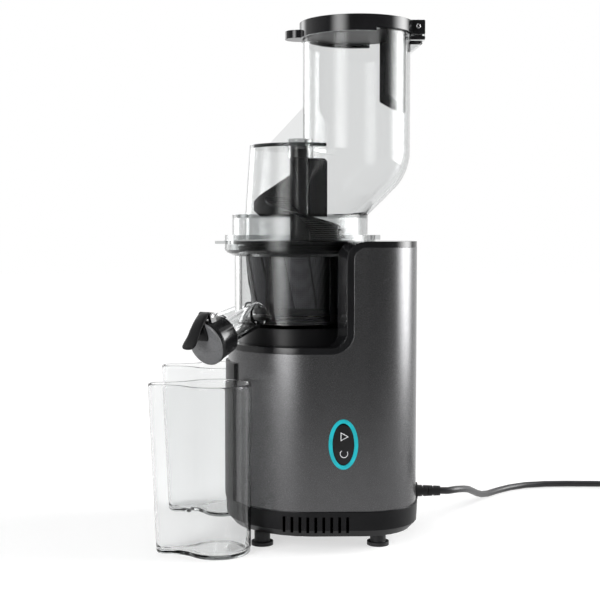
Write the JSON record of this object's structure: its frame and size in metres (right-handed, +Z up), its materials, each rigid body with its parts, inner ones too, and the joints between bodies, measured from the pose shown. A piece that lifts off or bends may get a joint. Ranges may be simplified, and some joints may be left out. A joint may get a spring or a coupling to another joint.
{
  "type": "cold press juicer",
  "caption": "Upright slow juicer: wide hinged chute and elbow over an auger, brush and strainer in a clear bowl, geared motor base, rocker switch and clear jugs.",
  "frame": {"origin": "bottom centre of the machine and its two jugs, on the worktop, cord left out", "axes": "+Z up, -Y towards the user, +X towards the cord's side"},
  "size_m": [0.5209, 0.279, 0.4315],
  "materials": {
    "gunmetal_paint": "satin metallic",
    "black_gloss": "gloss",
    "black_satin": "satin",
    "grey_satin": "satin",
    "auger_black": "satin",
    "teal_light": "glossy translucent",
    "clear_plastic": "clear polished",
    "black_rubber": "matte",
    "cord_black": "satin",
    "steel": "satin",
    "steel_mesh": "fine perforation",
    "plated_steel": "polished",
    "cast_alloy": "cast",
    "copper_wire": "enamelled wire",
    "bronze": "sintered",
    "gear_plastic": "moulded",
    "board_green": "lacquered"
  },
  "bodies": {
    "base": {"body_shell": "gunmetal_paint", "end_panel": "black_satin", "recess_trim": "black_gloss", "recess_liner": "black_gloss", "base_tray": "black_satin", "feet": "black_rubber", "base_screws": "steel", "bowl_pedestal": "black_satin", "switch_bezel": "black_gloss", "light_ring": "teal_light", "switch_body": "black_satin", "motor_mount": "black_rubber", "motor_can": "steel", "motor_stator": "copper_wire", "motor_end_cap": "cast_alloy", "gearbox_housing": "gear_plastic", "gearbox_cover": "gear_plastic", "gearbox_screws": "steel", "idler_shaft": "steel", "shaft_bearing": "bronze", "shaft_seal": "black_rubber", "control_board": "board_green", "safety_switch": "black_satin", "strain_relief": "black_rubber", "cord_lead": "cord_black", "cord_coil": "cord_black", "cord_tie": "black_satin", "plug_body": "cord_black", "plug_pins": "plated_steel"},
    "rocker": {"rocker_switch": "black_gloss"},
    "rotor": {"motor_rotor": "steel", "cooling_fan": "gear_plastic"},
    "idler": {"idler_gear": "gear_plastic"},
    "drive": {"output_gear": "gear_plastic", "drive_shaft": "steel"},
    "bowl": {"juice_bowl": "clear_plastic", "bowl_seal": "black_rubber", "bowl_gear_pin": "steel", "pulp_outlet_seal": "black_rubber", "spout_collar": "black_gloss", "flap_pin": "steel", "strainer_frame": "auger_black", "strainer_mesh": "steel_mesh"},
    "bowl_gear": {"bowl_gear": "gear_plastic"},
    "brush": {"brush_frame": "auger_black", "brush_blades": "black_rubber"},
    "auger": {"auger": "auger_black", "auger_socket": "steel"},
    "flap": {"spout_flap": "grey_satin"},
    "hopper": {"hopper": "clear_plastic", "auger_bearing": "black_satin", "hinge_pin": "steel"},
    "lid": {"hopper_lid": "black_gloss", "lid_flap": "black_satin"},
    "juice_jug": {"juice_jug": "clear_plastic"},
    "pulp_jug": {"pulp_jug": "clear_plastic"}
  },
  "joints": [
    {"name": "rocker_tilt", "type": "hinge", "parent": "base", "child": "rocker", "pos_m": [0.03688, -0.05643, 0.0874], "axis": [0.9997, 0.0243, 0], "range_deg": [-7, 7]},
    {"name": "rotor_spin", "type": "hinge", "parent": "base", "child": "rotor", "pos_m": [0.02834, 0.00401, 0.07], "axis": [0, 0, 1], "continuous": true},
    {"name": "idler_spin", "type": "hinge", "parent": "base", "child": "idler", "pos_m": [0.03407, 0.03651, 0.12], "axis": [0, 0, 1], "continuous": true},
    {"name": "drive_spin", "type": "hinge", "parent": "base", "child": "drive", "pos_m": [0.00248, 0.01, 0.13], "axis": [0, 0, 1], "continuous": true},
    {"name": "bowl_lift", "type": "slide", "parent": "base", "child": "bowl", "axis": [0, 0, 1], "range_m": [0, 0.12]},
    {"name": "auger_spin", "type": "hinge", "parent": "bowl", "child": "auger", "pos_m": [0.00248, 0.01, 0.25], "axis": [0, 0, 1], "continuous": true},
    {"name": "bowl_gear_spin", "type": "hinge", "parent": "bowl", "child": "bowl_gear", "pos_m": [0.01875, -0.00366, 0.184], "axis": [0, 0, 1], "continuous": true},
    {"name": "brush_spin", "type": "hinge", "parent": "bowl", "child": "brush", "pos_m": [0.00248, 0.01, 0.2], "axis": [0, 0, 1], "continuous": true},
    {"name": "flap_hinge", "type": "hinge", "parent": "bowl", "child": "flap", "pos_m": [-0.06974, -0.07792, 0.19146], "axis": [-0.7727, 0.6347, 0], "range_deg": [0, 80]},
    {"name": "hopper_twist", "type": "hinge", "parent": "bowl", "child": "hopper", "pos_m": [0.00248, 0.01, 0.262], "axis": [0, 0, 1], "range_deg": [0, 25]},
    {"name": "lid_hinge", "type": "hinge", "parent": "hopper", "child": "lid", "pos_m": [0.10047, 0.01, 0.426], "axis": [0, 1, 0], "range_deg": [0, 100]},
    {"name": "juice_jug_slide", "type": "slide", "parent": "base", "child": "juice_jug", "axis": [-1, 0, 0], "range_m": [0, 0.12]},
    {"name": "pulp_jug_slide", "type": "slide", "parent": "base", "child": "pulp_jug", "axis": [-1, 0, 0], "range_m": [0, 0.12]}
  ],
  "couplings": [
    {"joint": "idler_spin", "follows": "rotor_spin", "ratio": -0.22222},
    {"joint": "drive_spin", "follows": "rotor_spin", "ratio": 0.049383},
    {"joint": "auger_spin", "follows": "rotor_spin", "ratio": 0.049383},
    {"joint": "bowl_gear_spin", "follows": "rotor_spin", "ratio": -0.070547},
    {"joint": "brush_spin", "follows": "rotor_spin", "ratio": -0.020576}
  ]
}
